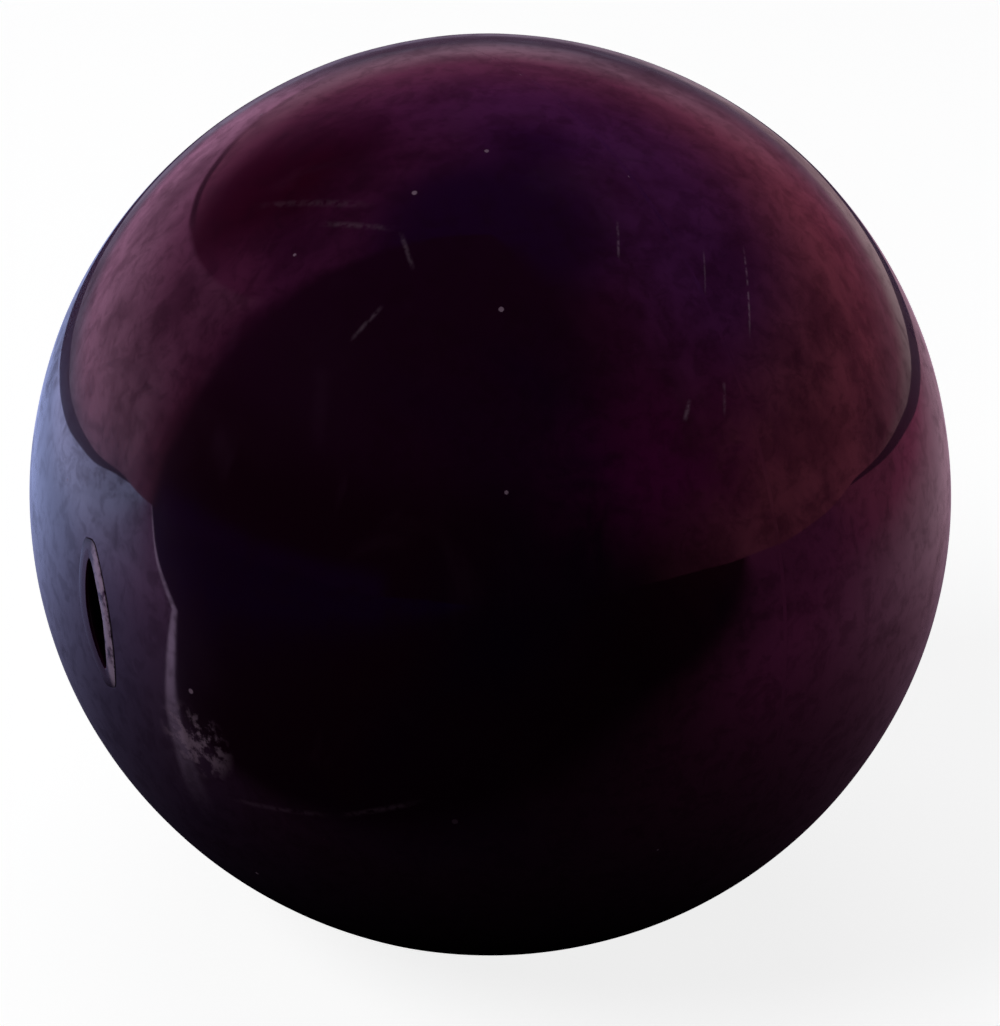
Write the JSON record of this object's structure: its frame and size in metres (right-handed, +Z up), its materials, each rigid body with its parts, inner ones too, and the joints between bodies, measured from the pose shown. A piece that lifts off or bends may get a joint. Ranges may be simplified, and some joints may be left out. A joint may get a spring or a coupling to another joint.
{
  "type": "case opening friction ball",
  "caption": "Inflatable tacky rubber ball that grips a screwed watch case back by friction, so it can be turned by hand.",
  "frame": {"origin": "centre of the ball", "axes": "+Z up, opposite the face pressed on the watch case; -X out through the valve; the halves part on the plane X = 0"},
  "size_m": [0.065, 0.065, 0.065],
  "materials": {
    "cover_rubber": "very glossy tacky natural rubber, near-black maroon",
    "cement_rubber": "glossy cured rubber cement, near-black maroon",
    "strip_cloth": "rubberised cotton tape",
    "bladder_butyl": "matt black butyl",
    "patch_rubber": "matt dark red rubber",
    "valve_rubber": "satin black rubber"
  },
  "bodies": {
    "root": {"cover_valve_half": "cover_rubber", "cover_plain_half": "cover_rubber", "seam_cement": "cement_rubber", "seam_strip": "strip_cloth", "bladder": "bladder_butyl", "bladder_patch": "patch_rubber", "valve_housing": "valve_rubber", "valve_core": "valve_rubber"}
  },
  "joints": []
}
